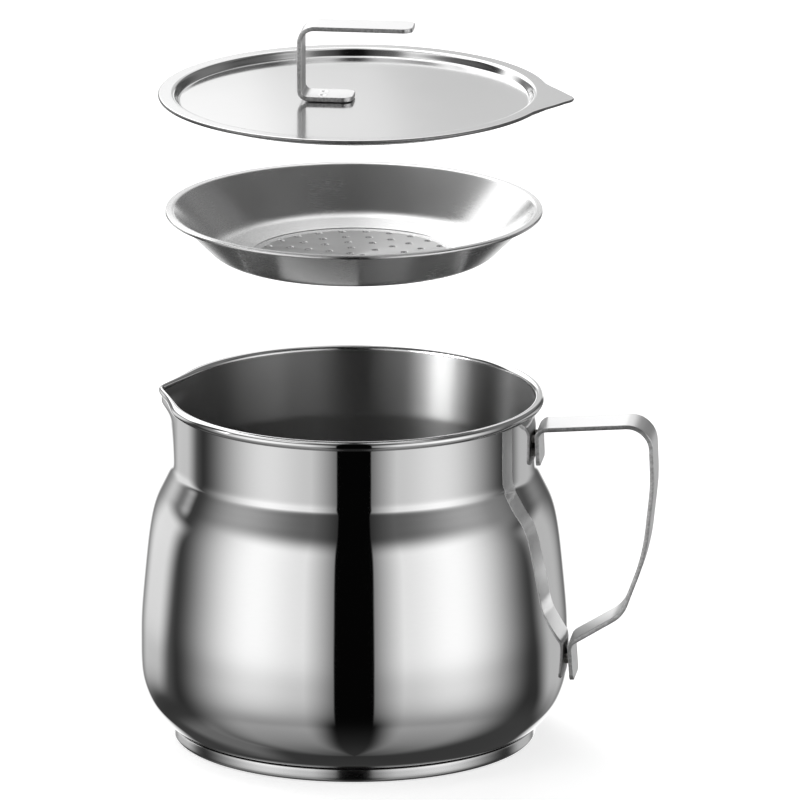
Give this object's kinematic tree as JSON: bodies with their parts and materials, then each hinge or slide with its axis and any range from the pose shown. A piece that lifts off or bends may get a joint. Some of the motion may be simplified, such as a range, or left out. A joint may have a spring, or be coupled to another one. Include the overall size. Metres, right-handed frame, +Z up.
{
  "type": "bacon grease container",
  "caption": "Bellied steel pot with a pouring lip and bent strip handle, a drop-in strainer dish and a recessed lid with its own grip, for straining and keeping cooking fat.",
  "frame": {"origin": "centre of the underside of the pot's foot", "axes": "+Z up along the pot's axis, +X along the pot handle, -X along the pouring lip"},
  "size_m": [0.1914, 0.159, 0.27],
  "materials": {
    "pot_steel": "polished stainless, fine turning lines",
    "base_steel": "satin stainless",
    "core_aluminium": "plain aluminium, hidden in the base",
    "handle_steel": "polished stainless strip",
    "weld_steel": "dull spot-weld nuggets",
    "strainer_steel": "polished stainless, punched holes",
    "lid_steel": "polished stainless, slightly satin disc"
  },
  "bodies": {
    "pot": {"pot_shell": "pot_steel", "base_core": "core_aluminium", "base_cap": "base_steel", "pot_handle": "handle_steel", "handle_upper_welds": "weld_steel", "handle_lower_welds": "weld_steel"},
    "strainer": {"strainer_dish": "strainer_steel"},
    "lid": {"lid_plate": "lid_steel", "lid_handle": "handle_steel", "lid_handle_welds": "weld_steel"}
  },
  "joints": [
    {"name": "strainer_lift", "type": "slide", "parent": "pot", "child": "strainer", "axis": [0, 0, 1], "range_m": [-0.0682, 0]},
    {"name": "lid_lift", "type": "slide", "parent": "strainer", "child": "lid", "axis": [0, 0, 1], "range_m": [-0.042, 0]}
  ]
}
